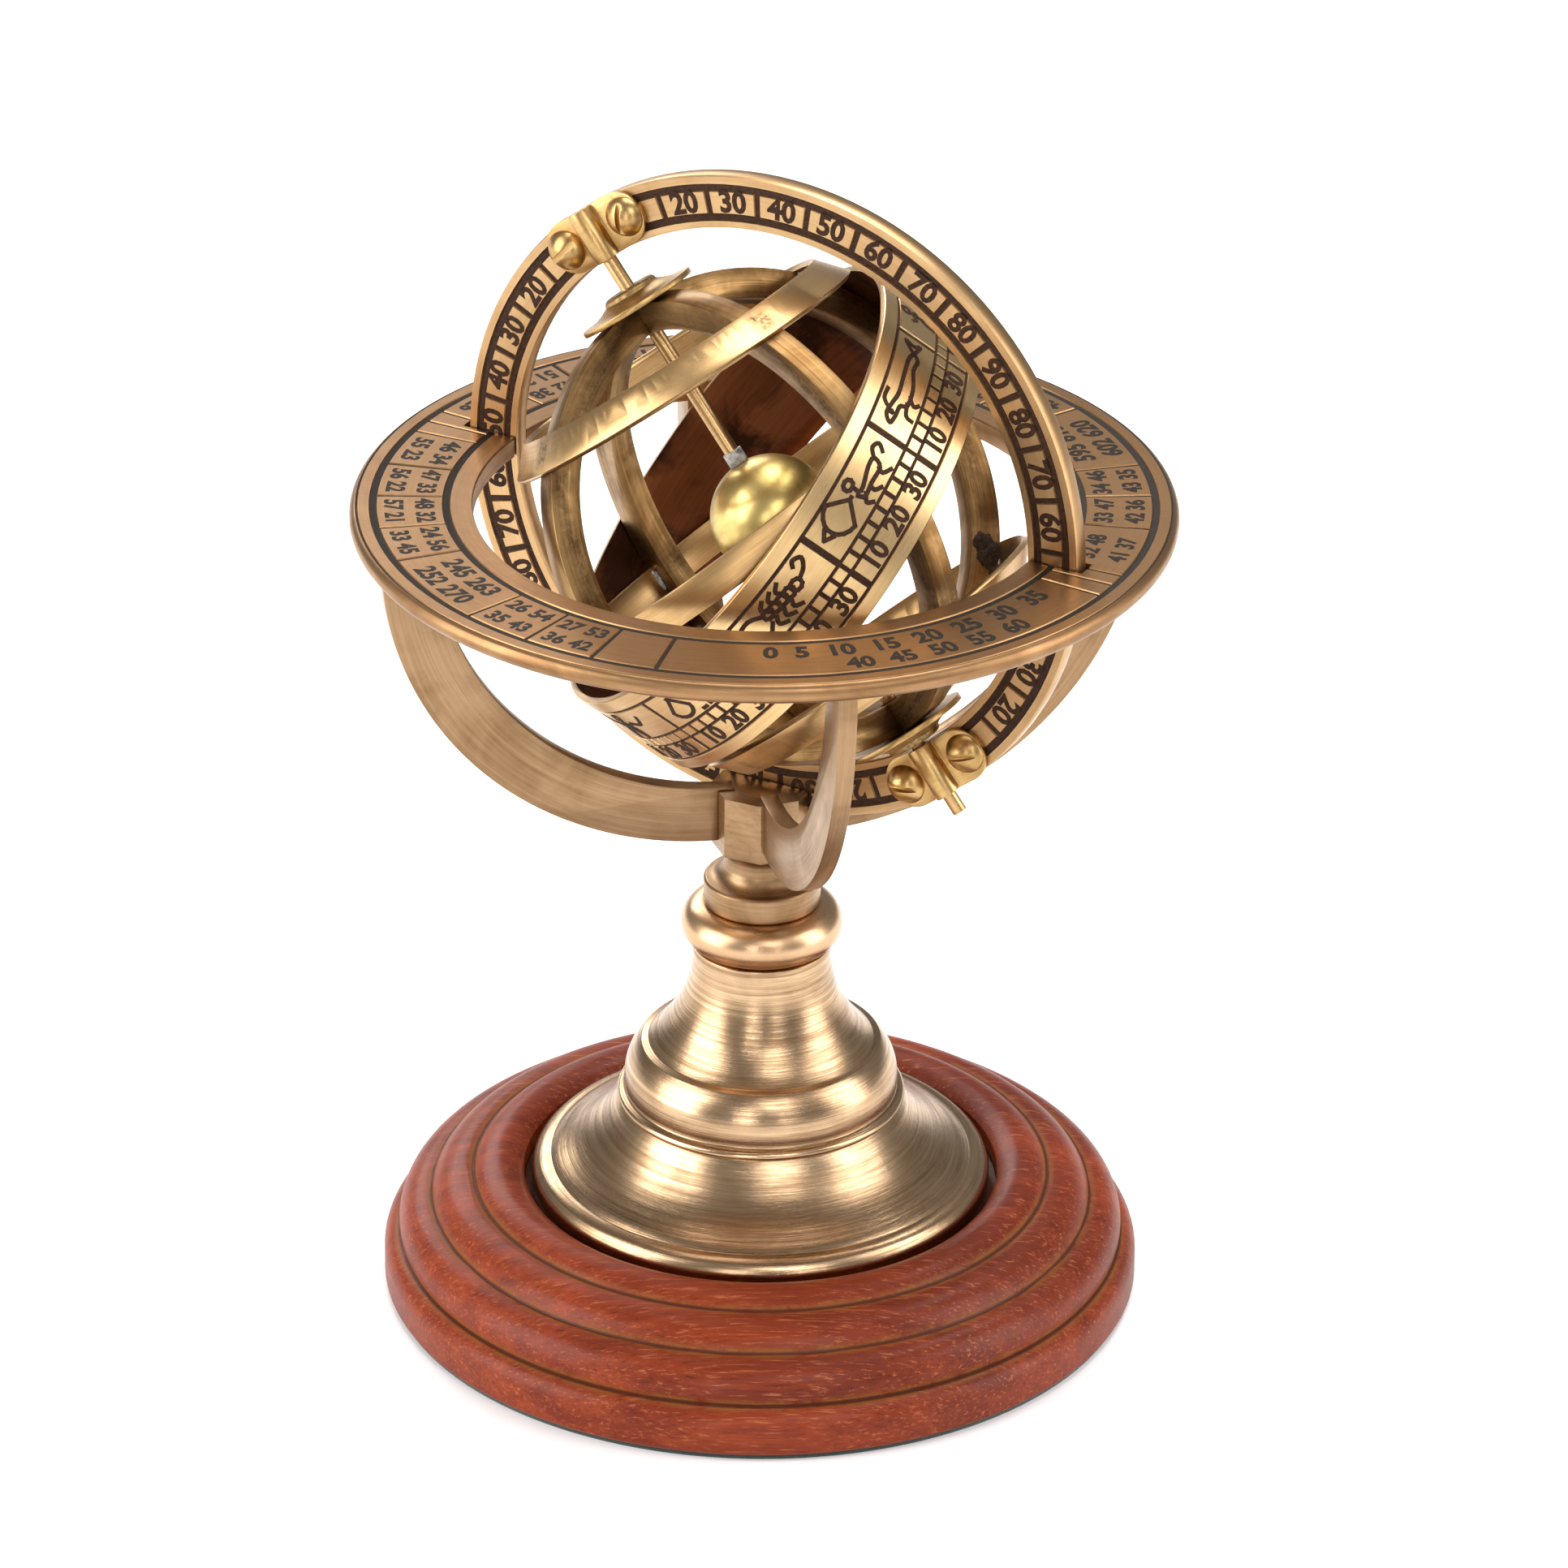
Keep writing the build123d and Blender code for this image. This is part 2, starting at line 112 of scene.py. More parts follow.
class Bench:
    """Adds and joins shader nodes in one tree."""

    def __init__(self, tree):
        self.tree = tree

    def feed(self, socket, value):
        if isinstance(value, bpy.types.NodeSocket):
            self.tree.links.new(value, socket)
        else:
            socket.default_value = value

    def add(self, kind, feeds=(), **settings):
        node = self.tree.nodes.new("ShaderNode" + kind)
        for name, value in settings.items():
            setattr(node, name, value)
        for index, value in dict(feeds).items():
            self.feed(node.inputs[index], value)
        return node

    def math(self, operation, first, second=0.0, clamp=False):
        return self.add("Math", {0: first, 1: second}, operation=operation, use_clamp=clamp).outputs[0]

    def noise(self, vector, scale, detail=3.0, roughness=0.55, distortion=0.0):
        feeds = {"Vector": vector, "Scale": scale, "Detail": detail, "Roughness": roughness, "Distortion": distortion}
        return self.add("TexNoise", feeds).outputs["Fac"]

    def spread(self, value, low, high, to_low=0.0, to_high=1.0):
        feeds = {"Value": value, "From Min": low, "From Max": high, "To Min": to_low, "To Max": to_high}
        return self.add("MapRange", feeds).outputs["Result"]

    def mix(self, factor, first, second, blend="MIX"):
        node = self.add("Mix", data_type="RGBA", blend_type=blend)
        self.feed(node.inputs["Factor"], factor)
        self.feed(node.inputs[6], first)
        self.feed(node.inputs[7], second)
        return node.outputs[2]

    def stretch(self, vector, scale):
        return self.add("Mapping", {"Vector": vector, "Scale": scale}).outputs["Vector"]


def lathe_grain():
    """Position in millimetres to a grain direction that runs round the Z axis."""
    group, bench, given, wanted = new_group("lathe_grain", [("Position", "Vector", None)], [("Grain", "Vector")])
    parts = bench.add("SeparateXYZ", {0: given["Position"]}).outputs
    square = bench.math("ADD", bench.math("MULTIPLY", parts[0], parts[0]), bench.math("MULTIPLY", parts[1], parts[1]))
    radius = bench.math("SQRT", square)
    slow = bench.math("MULTIPLY", bench.math("ADD", parts[0], bench.math("MULTIPLY", parts[1], 0.7)), 0.055)
    grain = bench.add("CombineXYZ", {0: bench.math("MULTIPLY", radius, 3.2), 1: bench.math("MULTIPLY", parts[2], 3.2),
                                     2: slow})
    bench.feed(wanted["Grain"], grain.outputs[0])
    return group


def worn_brass():
    """Colour, roughness and height of brushed brass with old patches, soot at the joints and worn edges."""
    group, bench, given, wanted = new_group(
        "worn_brass",
        [("Position", "Vector", None), ("Grain", "Vector", None), ("Bright", "Color", (0.8, 0.6, 0.35, 1)),
         ("Deep", "Color", (0.4, 0.25, 0.1, 1)), ("Soot", "Color", (0.03, 0.02, 0.015, 1)),
         ("Streaks", "Float", 0.5), ("Patches", "Float", 0.5), ("Gloss", "Float", 0.3)],
        [("Color", "Color"), ("Roughness", "Float"), ("Height", "Float")])
    fine = bench.noise(given["Grain"], 2.6, 4.0, 0.7)
    broad = bench.noise(given["Grain"], 0.55, 3.0, 0.6)
    patch = bench.noise(given["Position"], 0.085, 4.0, 0.62, 0.6)
    speck = bench.noise(given["Position"], 1.5, 5.0, 0.65)
    streak = bench.math("ADD", bench.math("MULTIPLY", fine, 0.5), bench.math("MULTIPLY", broad, 0.5))
    streak = bench.spread(streak, 0.38, 0.62)
    streak = bench.math("MULTIPLY", streak, given["Streaks"])
    age = bench.math("MULTIPLY", bench.spread(patch, 0.42, 0.68), given["Patches"])
    dirt = bench.math("ADD", streak, age, True)
    colour = bench.mix(dirt, given["Bright"], given["Deep"])
    freckle = bench.math("MULTIPLY", bench.spread(speck, 0.66, 0.74), 0.35)
    colour = bench.mix(freckle, colour, given["Deep"])
    soot = bench.add("Attribute", attribute_name="soot").outputs["Fac"]
    soot = bench.math("MULTIPLY", soot, bench.spread(speck, 0.25, 0.6), True)
    colour = bench.mix(soot, colour, given["Soot"])
    worn = bench.add("NewGeometry").outputs["Pointiness"]
    rubbed = bench.math("MULTIPLY", bench.spread(worn, 0.53, 0.62), 0.35)
    colour = bench.mix(rubbed, colour, given["Bright"])
    rough = bench.math("ADD", given["Gloss"], bench.math("MULTIPLY", dirt, 0.12))
    rough = bench.math("ADD", rough, bench.math("MULTIPLY", soot, 0.3))
    bench.feed(wanted["Color"], colour)
    bench.feed(wanted["Roughness"], rough)
    bench.feed(wanted["Height"], bench.math("ADD", fine, bench.math("MULTIPLY", speck, 0.3)))
    return group


def settled_dust():
    """Mask of dust and old wax that gathers beside the turned grooves, kept on the mesh as groove."""
    group, bench, given, wanted = new_group("settled_dust", [("Position", "Vector", None)], [("Mask", "Float")])
    groove = bench.add("Attribute", attribute_name="groove").outputs["Fac"]
    broken = bench.spread(bench.noise(given["Position"], 0.35, 4.0, 0.7), 0.33, 0.55)
    bench.feed(wanted["Mask"], bench.math("MULTIPLY", bench.spread(groove, 0.1, 0.6), broken, True))
    return group


LATHE_GRAIN = lathe_grain()
WORN_BRASS = worn_brass()
SETTLED_DUST = settled_dust()


def new_finish(name):
    material = bpy.data.materials.new(name)
    material.use_nodes = True
    bench = Bench(material.node_tree)
    shader = material.node_tree.nodes["Principled BSDF"]
    position = bench.add("TexCoord").outputs["Object"]
    position = bench.stretch(position, (1 / MM, 1 / MM, 1 / MM))
    return material, bench, shader, position


def group_node(bench, group, feeds):
    node = bench.tree.nodes.new("ShaderNodeGroup")
    node.node_tree = group
    for name, value in feeds.items():
        bench.feed(node.inputs[name], value)
    return node.outputs


def brass(name, bright, deep, gloss=0.3, streaks=0.5, patches=0.5, grain=None, brushed=0.35, relief=0.02, tangent=None):
    """Brushed brass. grain is None for marks that run round local Z, or a stretch for straight marks."""
    material, bench, shader, position = new_finish(name)
    if grain is None:
        direction = group_node(bench, LATHE_GRAIN, {"Position": position})["Grain"]
    else:
        direction = bench.stretch(position, grain)
    made = group_node(bench, WORN_BRASS, {
        "Position": position, "Grain": direction, "Bright": (*bright, 1), "Deep": (*deep, 1),
        "Streaks": streaks, "Patches": patches, "Gloss": gloss})
    bench.feed(shader.inputs["Base Color"], made["Color"])
    bench.feed(shader.inputs["Roughness"], made["Roughness"])
    bump = bench.add("Bump", {"Height": made["Height"], "Strength": 0.5, "Distance": relief * MM})
    bench.feed(shader.inputs["Normal"], bump.outputs[0])
    shader.inputs["Metallic"].default_value = 1.0
    shader.inputs["Anisotropic"].default_value = brushed
    if tangent:
        around = bench.add("Tangent", direction_type="RADIAL", axis=tangent)
        bench.feed(shader.inputs["Tangent"], around.outputs[0])
    return material


def engraving_floor(name, light, dark, metal=0.35):
    """Dark wax and tarnish in the etched lines, and the near-black finish of the lumps of painted shade at one cage
    joint.
    """
    material, bench, shader, position = new_finish(name)
    crumbs = bench.noise(position, 2.2, 5.0, 0.7)
    colour = bench.mix(bench.spread(crumbs, 0.35, 0.7), (*dark, 1), (*light, 1))
    bench.feed(shader.inputs["Base Color"], colour)
    bench.feed(shader.inputs["Roughness"], bench.spread(crumbs, 0.3, 0.7, 0.45, 0.75))
    bump = bench.add("Bump", {"Height": crumbs, "Strength": 0.6, "Distance": 0.04 * MM})
    bench.feed(shader.inputs["Normal"], bump.outputs[0])
    shader.inputs["Metallic"].default_value = metal
    shader.inputs["Specular IOR Level"].default_value = 0.12
    return material


def red_mahogany():
    """Stained, lacquered hardwood; the grain runs straight across the turned rolls."""
    material, bench, shader, position = new_finish("red_mahogany")
    swirl = bench.noise(bench.stretch(position, (0.012, 0.05, 0.03)), 1.0, 3.0, 0.5)
    across = bench.add("VectorMath", {0: position, 1: (1.0, 1.0, 1.0)}, operation="MULTIPLY").outputs[0]
    figure = bench.noise(bench.stretch(across, (0.022, 0.26, 0.26)), 1.0, 5.0, 0.6, 0.9)
    pores = bench.noise(bench.stretch(across, (0.16, 2.6, 2.6)), 1.0, 4.0, 0.7, 0.3)
    colour = bench.mix(bench.spread(figure, 0.34, 0.68), (0.150, 0.019, 0.005, 1), (0.255, 0.038, 0.010, 1))
    colour = bench.mix(bench.math("MULTIPLY", bench.spread(swirl, 0.45, 0.65), 0.6), colour, (0.08, 0.011, 0.004, 1))
    colour = bench.mix(bench.math("MULTIPLY", bench.spread(pores, 0.56, 0.66), 0.6), colour, (0.42, 0.13, 0.05, 1))
    colour = bench.mix(bench.math("MULTIPLY", bench.spread(pores, 0.43, 0.33), 0.7), colour, (0.05, 0.009, 0.005, 1))
    dust = group_node(bench, SETTLED_DUST, {"Position": position})["Mask"]
    colour = bench.mix(bench.math("MULTIPLY", dust, 0.7), colour, (0.22, 0.075, 0.016, 1))
    groove = bench.add("Attribute", attribute_name="groove").outputs["Fac"]
    # Painted shade: the bottoms of the turned grooves are darkened to near black.
    colour = bench.mix(bench.spread(groove, 0.66, 0.86, 0.0, 0.85), colour, (0.05, 0.012, 0.005, 1))
    bench.feed(shader.inputs["Base Color"], colour)
    sheen = bench.math("ADD", bench.spread(pores, 0.3, 0.7, 0.34, 0.5), bench.math("MULTIPLY", dust, 0.25))
    bench.feed(shader.inputs["Roughness"], sheen)
    bump = bench.add("Bump", {"Height": pores, "Strength": 0.55, "Distance": 0.09 * MM})
    bench.feed(shader.inputs["Normal"], bump.outputs[0])
    shader.inputs["Specular IOR Level"].default_value = 0.15
    shader.inputs["Coat Weight"].default_value = 0.08
    shader.inputs["Coat Roughness"].default_value = 0.2
    return material


def pressed_felt():
    material, bench, shader, position = new_finish("pressed_felt")
    fibre = bench.noise(position, 3.0, 5.0, 0.8, 1.5)
    colour = bench.mix(fibre, (0.006, 0.012, 0.009, 1), (0.03, 0.05, 0.04, 1))
    bench.feed(shader.inputs["Base Color"], colour)
    shader.inputs["Roughness"].default_value = 0.95
    shader.inputs["Sheen Weight"].default_value = 0.4
    bump = bench.add("Bump", {"Height": fibre, "Strength": 0.8, "Distance": 0.15 * MM})
    bench.feed(shader.inputs["Normal"], bump.outputs[0])
    return material


def old_solder():
    material, bench, shader, position = new_finish("old_solder")
    bloom = bench.noise(position, 1.1, 5.0, 0.7, 0.8)
    colour = bench.mix(bench.spread(bloom, 0.35, 0.7), (0.20, 0.19, 0.17, 1), (0.66, 0.64, 0.60, 1))
    bench.feed(shader.inputs["Base Color"], colour)
    bench.feed(shader.inputs["Roughness"], bench.spread(bloom, 0.3, 0.7, 0.38, 0.62))
    shader.inputs["Metallic"].default_value = 0.9
    bump = bench.add("Bump", {"Height": bloom, "Strength": 0.6, "Distance": 0.12 * MM})
    bench.feed(shader.inputs["Normal"], bump.outputs[0])
    return material


PINK_BRASS = (0.37, 0.21, 0.10)
PINK_DEEP = (0.20, 0.105, 0.043)
YELLOW_BRASS = (0.58, 0.37, 0.175)
YELLOW_DEEP = (0.34, 0.20, 0.07)
FINISH = {
    "wood": red_mahogany(),
    "felt": pressed_felt(),
    "spun": brass("spun_brass", (0.64, 0.44, 0.265), (0.21, 0.122, 0.060), 0.17, 0.85, 0.3, brushed=0.4, relief=0.03,
                  tangent="Z"),
    "collar": brass("polished_collar_brass", (0.60, 0.39, 0.23), (0.44, 0.27, 0.13), 0.26, 0.3, 0.3, brushed=0.2),
    "cast": brass("filed_brass", (0.37, 0.235, 0.13), (0.19, 0.105, 0.045), 0.3, 0.5, 0.5),
    "plate": brass("satin_plate_brass", PINK_BRASS, PINK_DEEP, 0.32, 0.45, 0.6, relief=0.015),
    "meridian": brass("tan_plate_brass", (0.52, 0.335, 0.17), (0.31, 0.175, 0.07), 0.31, 0.5, 0.5, relief=0.015),
    "strap": brass("olive_brass", (0.54, 0.345, 0.14), (0.27, 0.155, 0.05), 0.28, 0.4, 0.5, grain=(0.25, 3.0, 3.0)),
    "colure": brass("browned_brass", (0.38, 0.23, 0.095), (0.13, 0.066, 0.022), 0.29, 0.6, 0.8),
    "hoop": brass("bright_hoop_brass", YELLOW_BRASS, YELLOW_DEEP, 0.26, 0.5, 0.4),
    "zodiac": brass("gilt_brass", (0.74, 0.505, 0.25), (0.42, 0.26, 0.10), 0.26, 0.45, 0.35),
    # Painted shade: the zodiac band's inner face is coloured a near-black brown.
    "inside": brass("painted_shade_inner_brass", (0.16, 0.052, 0.020), (0.03, 0.011, 0.006), 0.36, 0.35, 1.2),
    "ball": brass("mottled_brass", (0.74, 0.55, 0.20), (0.27, 0.17, 0.04), 0.3, 0.15, 1.0, grain=(0.4, 0.4, 0.4)),
    "floor": engraving_floor("brown_engraving", (0.060, 0.026, 0.012), (0.016, 0.007, 0.004), 0.0),
    "grey_line": engraving_floor("grey_engraving", (0.034, 0.024, 0.018), (0.010, 0.008, 0.006), 0.0),
    # Painted shade: the near-black finish of the lumps of painted shade at one cage joint.
    "painted_shade_black": engraving_floor("painted_shade_lump", (0.05, 0.026, 0.013), (0.004, 0.003, 0.002), 0.0),
    "solder": old_solder(),
    "steel": brass("zinc_plate", (0.60, 0.61, 0.62), (0.33, 0.34, 0.35), 0.35, 0.2, 0.4),
}


# ---- Pieces ----
def finished(name, mesh, at, body, finishes):
    """Makes the object, its materials and the body that it rides on."""
    piece = bpy.data.objects.new(name, mesh)
    bpy.context.scene.collection.objects.link(piece)
    for finish in finishes:
        mesh.materials.append(FINISH[finish])
    piece.matrix_world = at
    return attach(piece, body)


def smooth_by_angle(mesh, angle=35):
    limit = radians(angle)
    bm = bmesh.new()
    bm.from_mesh(mesh)
    for face in bm.faces:
        face.smooth = True
    for edge in bm.edges:
        if len(edge.link_faces) == 2:
            edge.smooth = edge.calc_face_angle(0) < limit
    bm.to_mesh(mesh)
    bm.free()


def softened(node, at, body, finishes, edge=0.12, shape=None, paint=None, name=None):
    """A CAD piece with its sharp edges eased, in its own frame. shape moves vertices, paint picks a finish."""
    source = frame["nodes"][node]
    bm = bmesh.new()
    bm.from_mesh(source.data)
    bmesh.ops.remove_doubles(bm, verts=bm.verts, dist=0.0005 * MM)
    bmesh.ops.transform(bm, matrix=at.inverted(), verts=bm.verts)
    bmesh.ops.dissolve_limit(bm, angle_limit=radians(0.4), verts=bm.verts, edges=bm.edges)
    if shape:
        for vertex in bm.verts:
            vertex.co = shape(vertex.co / MM) * MM
    sharp = [e for e in bm.edges if len(e.link_faces) == 2 and e.calc_face_angle(0) > radians(32)]
    if edge:
        bmesh.ops.bevel(bm, geom=sharp, offset=edge * MM, offset_type="OFFSET", segments=2, profile=0.5,
                        affect="EDGES", clamp_overlap=True)
    bmesh.ops.recalc_face_normals(bm, faces=bm.faces)
    if paint:
        bm.normal_update()
        for face in bm.faces:
            face.material_index = paint(face.calc_center_median() / MM, face.normal)
    mesh = bpy.data.meshes.new(name or node + "_finished")
    bm.to_mesh(mesh)
    bm.free()
    smooth_by_angle(mesh)
    piece = finished(name or node + "_finished", mesh, at, body, finishes)
    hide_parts(node)
    return piece


def mark_grooves(piece, reach):
    """Keeps how close each point is to an inward crease, from 0 at reach mm to 1 in the crease."""
    bm = bmesh.new()
    bm.from_mesh(piece.data)
    creases = [v.co.copy() for e in bm.edges if len(e.link_faces) == 2 and e.calc_face_angle_signed(0) < radians(-25)
               for v in e.verts]
    bm.free()
    rings = sorted({(round(p.xy.length / MM, 1), round(p.z / MM, 1)) for p in creases})
    near = piece.data.attributes.new("groove", "FLOAT", "POINT")
    for vertex, value in zip(piece.data.vertices, near.data):
        radius, height = vertex.co.xy.length / MM, vertex.co.z / MM
        gap = min(math.hypot(radius - r, height - h) for r, h in rings) if rings else reach
        value.value = max(0.0, 1.0 - gap / reach)


def blacken(piece, spots, reach):
    """Heat stains near soldered joints, kept on the mesh as a value from 0 to 1."""
    mesh = piece.data
    stain = mesh.attributes.new("soot", "FLOAT", "POINT")
    at = piece.matrix_world
    for vertex, value in zip(mesh.vertices, stain.data):
        point = at @ vertex.co
        nearest = min((point - spot).length for spot in spots) / MM
        ragged = reach * (0.75 + 0.5 * noise.noise(point / MM * 0.23))
        value.value = max(0.0, min(1.0, 1.35 - nearest / ragged))


class Plate:
    """A surface for engraving: place(along in degrees, across in mm, height in mm) gives a local point in mm."""

    def __init__(self, place, radius):
        self.place = place
        self.radius = radius
        self.bm = bmesh.new()

    def vertex(self, along, across, height):
        return self.bm.verts.new(self.place(along, across, height) * MM)

    def cell(self, start, end, low, high, floor, top, ease=0.12, step=3.0):
        """A raised flat between etched lines, with eased edges. A full turn has no ends."""
        whole = abs(end - start) >= 359.999
        count = max(2, int(math.ceil((end - start) / step)))
        ends = degrees(ease / self.radius)
        columns = []
        for index in range(count if whole else count + 1):
            along = start + (end - start) * index / count
            inner = along if whole else min(max(along, start + ends), end - ends)
            columns.append([
                self.vertex(along, low, floor), self.vertex(inner, low + ease, top),
                self.vertex(inner, high - ease, top), self.vertex(along, high, floor)])
        pairs = list(zip(columns, columns[1:]))
        if whole:
            pairs.append((columns[-1], columns[0]))
        for first, second in pairs:
            for side in range(4):
                nxt = (side + 1) % 4
                self.bm.faces.new((first[side], first[nxt], second[nxt], second[side]))
        if not whole:
            self.bm.faces.new(columns[0])
            self.bm.faces.new(list(reversed(columns[-1])))

    def ribbon(self, points, width, floor, top):
        """An engraved stroke through points of (mm along, mm across)."""
        for (x0, y0), (x1, y1) in zip(points, points[1:]):
            run = Vector((x1 - x0, y1 - y0))
            if run.length < 1e-6:
                continue
            forward = run.normalized() * width * 0.35
            side = Vector((-run.y, run.x)).normalized() * width / 2
            corners = [Vector((x0, y0)) - forward - side, Vector((x1, y1)) + forward - side,
                       Vector((x1, y1)) + forward + side, Vector((x0, y0)) - forward + side]
            low = [self.vertex(degrees(c.x / self.radius), c.y, floor) for c in corners]
            high = [self.vertex(degrees(c.x / self.radius), c.y, top) for c in corners]
            self.bm.faces.new(high)
            self.bm.faces.new(list(reversed(low)))
            for k in range(4):
                nxt = (k + 1) % 4
                self.bm.faces.new((low[k], low[nxt], high[nxt], high[k]))

    def mesh(self, name):
        bmesh.ops.recalc_face_normals(self.bm, faces=self.bm.faces)
        mesh = bpy.data.meshes.new(name)
        self.bm.to_mesh(mesh)
        self.bm.free()
        return mesh


def lettered(text, size):
    """Flat outline of a numeral, centred, in millimetres."""
    curve = bpy.data.curves.new("numeral", "FONT")
    curve.body = text
    curve.size = size
    curve.align_x = "CENTER"
    curve.align_y = "CENTER"
    curve.resolution_u = 3
    curve.offset = size * 0.04
    shown = bpy.data.objects.new("numeral", curve)
    bpy.context.scene.collection.objects.link(shown)
    bpy.context.view_layer.update()
    mesh = bpy.data.meshes.new_from_object(shown)
    bpy.data.objects.remove(shown)
    bpy.data.curves.remove(curve)
    return mesh


NUMERALS = {}


def engrave(plate, text, size, along, across, sense, upward, floor, top, squeeze=1.0):
    """Cuts text into a plate. sense is +1 if it reads with the angle; upward is +1 if its tops point to larger across."""
    if (text, size) not in NUMERALS:
        NUMERALS[text, size] = lettered(text, size)
    flat = NUMERALS[text, size]
    bm = bmesh.new()
    bm.from_mesh(flat)
    lid = bm.faces[:]
    grown = bmesh.ops.extrude_face_region(bm, geom=lid)
    raised = {v for v in grown["geom"] if isinstance(v, bmesh.types.BMVert)}
    table = {}
    for vertex in bm.verts:
        x, y = vertex.co.x * squeeze, vertex.co.y
        height = top if vertex in raised else floor
        table[vertex] = plate.vertex(along + sense * degrees(x / plate.radius), across + upward * y, height)
    for face in bm.faces:
        plate.bm.faces.new([table[v] for v in face.verts])
    bm.free()


def cut_slots(mesh, at, boxes):
    """Cuts boxes of (lowest, highest) corners in mm, in the frame at, out of a mesh."""
    bm = bmesh.new()
    for low, high in boxes:
        size = Vector(high) - Vector(low)
        middle = (Vector(high) + Vector(low)) / 2
        matrix = at @ Matrix.Translation(middle * MM) @ Matrix.Diagonal((*(size * MM), 1))
        bmesh.ops.create_cube(bm, size=1.0, matrix=matrix)
    cutter_mesh = bpy.data.meshes.new("slot_cutter")
    bm.to_mesh(cutter_mesh)
    bm.free()
    cutter = bpy.data.objects.new("slot_cutter", cutter_mesh)
    work = bpy.data.objects.new("slot_work", mesh)
    for thing in (cutter, work):
        bpy.context.scene.collection.objects.link(thing)
    cut = work.modifiers.new("cut", "BOOLEAN")
    cut.operation = "DIFFERENCE"
    cut.solver = "EXACT"
    cut.object = cutter
    bpy.context.view_layer.update()
    result = bpy.data.meshes.new_from_object(work.evaluated_get(bpy.context.evaluated_depsgraph_get()))
    bpy.data.objects.remove(cutter)
    bpy.data.objects.remove(work)
    return result


# ---- Level horizon ring ----
LINE = 0.85
ETCH = 0.16
HORIZON_CELLS = (42.575, 51.415)
HORIZON_DIVIDERS = (-170.3, -159.0, -138.0, -126.7, -115.6, -105.7, -32.5, -28.6, -25.2, -8.8, 2.6, 13.4,
                    35.0, 46.5, 58.0, 80.0, 91.0, 102.0, 124.0, 135.0, 147.6, 151.5, 155.4, 167.5, 178.6)


def on_horizon(along, across, height):
    a = radians(along)
    return Vector((across * cos(a), across * sin(a), height))


def horizon_notches():
    """The two slots that the meridian ring slides in, a little wider than the cells' edges."""
    low, high = -4.0, -0.9
    reach = 46.6
    along = placed(ALONG, UP, Vector((0, 0, 0)))
    return along, [((-reach, low_y, -1.0), (reach, high_y, 1.0)) for low_y, high_y in [(-high, -low)]]


def horizon():
    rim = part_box("horizon_ring")[1].x / MM
    bore = 38.63
    inner = HORIZON_CELLS[0] - LINE
    outer = HORIZON_CELLS[1] + LINE
    ring = softened(
        "horizon_ring", HORIZON_FRAME, "stand", ["plate", "grey_line"], 0.1,
        shape=lambda p: Vector((p.x, p.y, -ETCH)) if p.z > -0.01 else p,
        paint=lambda c, n: 1 if n.z > 0.9 else 0)
    plate = Plate(on_horizon, 47.0)
    plate.cell(0, 360, bore + 0.05, inner, -ETCH - 0.05, 0, 0.15)
    plate.cell(0, 360, outer, rim - 1.02, -ETCH - 0.05, 0, 0.12)
    gap = 0.27
    turns = sorted(HORIZON_DIVIDERS)
    for index, start in enumerate(turns):
        end = turns[index + 1] if index + 1 < len(turns) else turns[0] + 360
        plate.cell(start + gap, end - gap, HORIZON_CELLS[0], HORIZON_CELLS[1], -ETCH - 0.05, 0)
    at, slots = horizon_notches()
    lands = cut_slots(plate.mesh("horizon_lands"), at, slots)
    smooth_by_angle(lands, 30)
    finished("horizon_lands", lands, HORIZON_FRAME, "stand", ["plate"])
    writing = Plate(on_horizon, 47.0)
    for index, start in enumerate(turns):
        end = turns[index + 1] if index + 1 < len(turns) else turns[0] + 360
        middle, width = (start + end) / 2, end - start
        rows = []
        if width > 60:
            rows = [("0  5  10  15  20  25  30  35", 45.2, 4.2, -1.5), ("40  45  50  55  60", 49.2, 4.0, 0.0)]
            middle += 7.0
        elif width > 18:
            first = 210 + index * 35
            rows = [(f"{first} {first + 18}", 45.1, 3.9, 0), (f"{first + 7} {first + 25}", 49.2, 3.9, 0)]
        elif width > 10.2:
            rows = [(f"{24 + index} {56 - index}", 45.1, 3.4, 0), (f"{33 + index} {45 - index}", 49.2, 3.4, 0)]
        for text, radius, size, push in rows:
            engrave(writing, text, size, middle + push, radius, 1, -1, -0.06, 0.012, 0.92 * 47.0 / radius)
    marks = writing.mesh("horizon_numerals")
    finished("horizon_numerals", marks, HORIZON_FRAME, "stand", ["grey_line"])
    return ring


# ---- Meridian ring ----
MERIDIAN_FRONT = -1.2
SCALE = (40.4, 43.65)


def on_meridian(along, across, height):
    a = radians(along)
    return Vector((across * cos(a), across * sin(a), MERIDIAN_FRONT + height))


